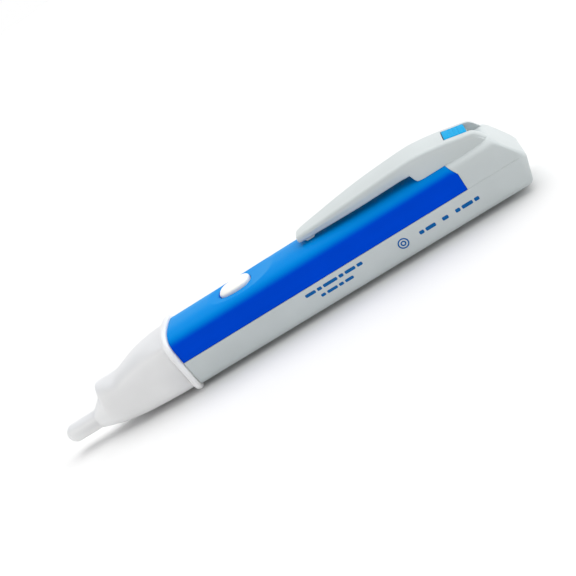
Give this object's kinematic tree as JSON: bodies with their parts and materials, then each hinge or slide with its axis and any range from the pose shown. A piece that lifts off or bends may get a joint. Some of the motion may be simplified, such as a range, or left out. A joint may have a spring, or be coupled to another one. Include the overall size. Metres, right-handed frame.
{
  "type": "non contact voltage tester",
  "caption": "Pocket pen tester with a translucent sensing nose, push button, two-colour barrel, spring clip and a latched sleeve that slides off its battery core.",
  "frame": {"origin": "middle of the box's underside: half way along the pen, on its mid plane, at the lowest point of the nose collar", "axes": "+X from the nose tip to the tail, +Z towards the clip side, +Y across the width"},
  "size_m": [0.1531, 0.0212, 0.0247],
  "materials": {
    "milky_plastic": "milky translucent moulding, soft gloss",
    "blue_plastic": "smooth satin blue moulding",
    "grey_plastic": "fine satin light grey moulding",
    "sky_plastic": "satin light blue moulding",
    "white_plastic": "smooth white cap",
    "black_plastic": "matt black moulding",
    "dark_plastic": "matt dark grey moulding",
    "board_green": "lacquered glass fibre board",
    "tan_ceramic": "fired ceramic with tinned ends",
    "led_clear": "moulded epoxy",
    "steel": "nickel plated",
    "cell_steel": "sleeved steel can",
    "brass": "bare brass"
  },
  "bodies": {
    "sleeve": {"outer_sleeve": "grey_plastic", "clip_base": "grey_plastic", "latch_pin": "steel"},
    "core": {"nose_cap": "milky_plastic", "upper_shell": "blue_plastic", "tray": "dark_plastic", "circuit_board": "board_green", "board_screw_front": "steel", "board_screw_rear": "steel", "control_chip": "black_plastic", "driver_chip": "black_plastic", "capacitor": "tan_ceramic", "resistor_front": "black_plastic", "resistor_rear": "black_plastic", "led": "led_clear", "led_lead_left": "steel", "led_lead_right": "steel", "sensor_rod": "brass", "sensor_tip": "brass", "buzzer": "black_plastic", "battery_front": "cell_steel", "battery_rear": "cell_steel", "battery_coil": "steel", "battery_contact": "steel", "return_strip": "brass", "switch_body": "black_plastic"},
    "clip": {"clip_arm": "grey_plastic"},
    "latch": {"latch_tab": "sky_plastic"},
    "button": {"power_button": "white_plastic"},
    "stem": {"switch_stem": "brass"}
  },
  "joints": [
    {"name": "core_slide", "type": "slide", "parent": "sleeve", "child": "core", "axis": [-1, 0, 0], "range_m": [0, 0.1]},
    {"name": "clip_flex", "type": "hinge", "parent": "sleeve", "child": "clip", "pos_m": [0.0519, 0, 0.0247], "axis": [0, 1, 0], "range_deg": [0, 6], "stiffness_Nm_per_rad": 1.2},
    {"name": "latch_rock", "type": "hinge", "parent": "sleeve", "child": "latch", "pos_m": [0.0635, 0, 0.0201], "axis": [0, 1, 0], "range_deg": [0, 5], "stiffness_Nm_per_rad": 0.05},
    {"name": "button_press", "type": "slide", "parent": "core", "child": "button", "axis": [0, 0, -1], "range_m": [0, 0.0008], "stiffness_N_per_m": 600},
    {"name": "stem_press", "type": "slide", "parent": "core", "child": "stem", "axis": [0, 0, -1], "range_m": [0, 0.00025]}
  ],
  "couplings": [
    {"joint": "stem_press", "follows": "button_press", "ratio": 0.3}
  ]
}
